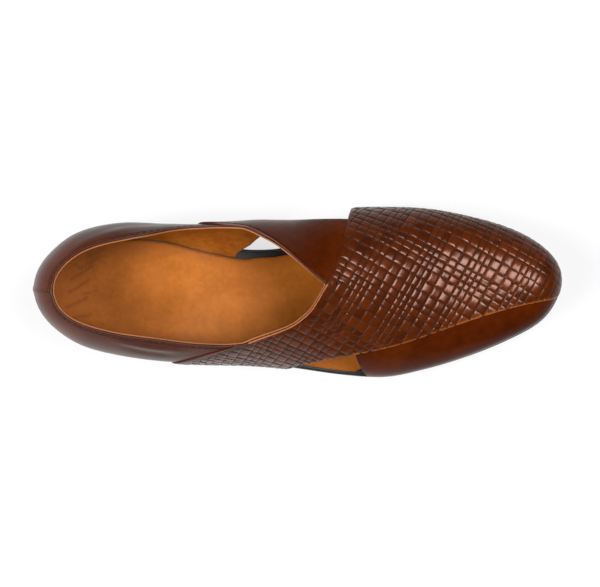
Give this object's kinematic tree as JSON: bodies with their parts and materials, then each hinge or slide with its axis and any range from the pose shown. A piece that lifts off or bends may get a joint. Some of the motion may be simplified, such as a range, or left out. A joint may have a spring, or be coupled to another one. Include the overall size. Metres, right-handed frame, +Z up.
{
  "type": "leather sandal",
  "caption": "Closed-toe leather sandal for the right foot: woven-pattern crossover vamp, side cut-outs, closed heel, tan insole and a low heel block.",
  "frame": {"origin": "middle of the shoe's bounding box in plan, on the floor it stands on", "axes": "+X from heel to toe, +Y to the inner (arch) side of the foot, +Z up"},
  "size_m": [0.2878, 0.0946, 0.0828],
  "materials": {
    "brown_leather": "polished",
    "tan_insole": "satin",
    "brown_rand": "satin",
    "black_sole": "satin",
    "black_heel": "satin"
  },
  "bodies": {
    "root": {"upper": "brown_leather", "insole": "tan_insole", "midsole": "brown_rand", "outsole": "black_sole", "heel": "black_heel"}
  },
  "joints": []
}
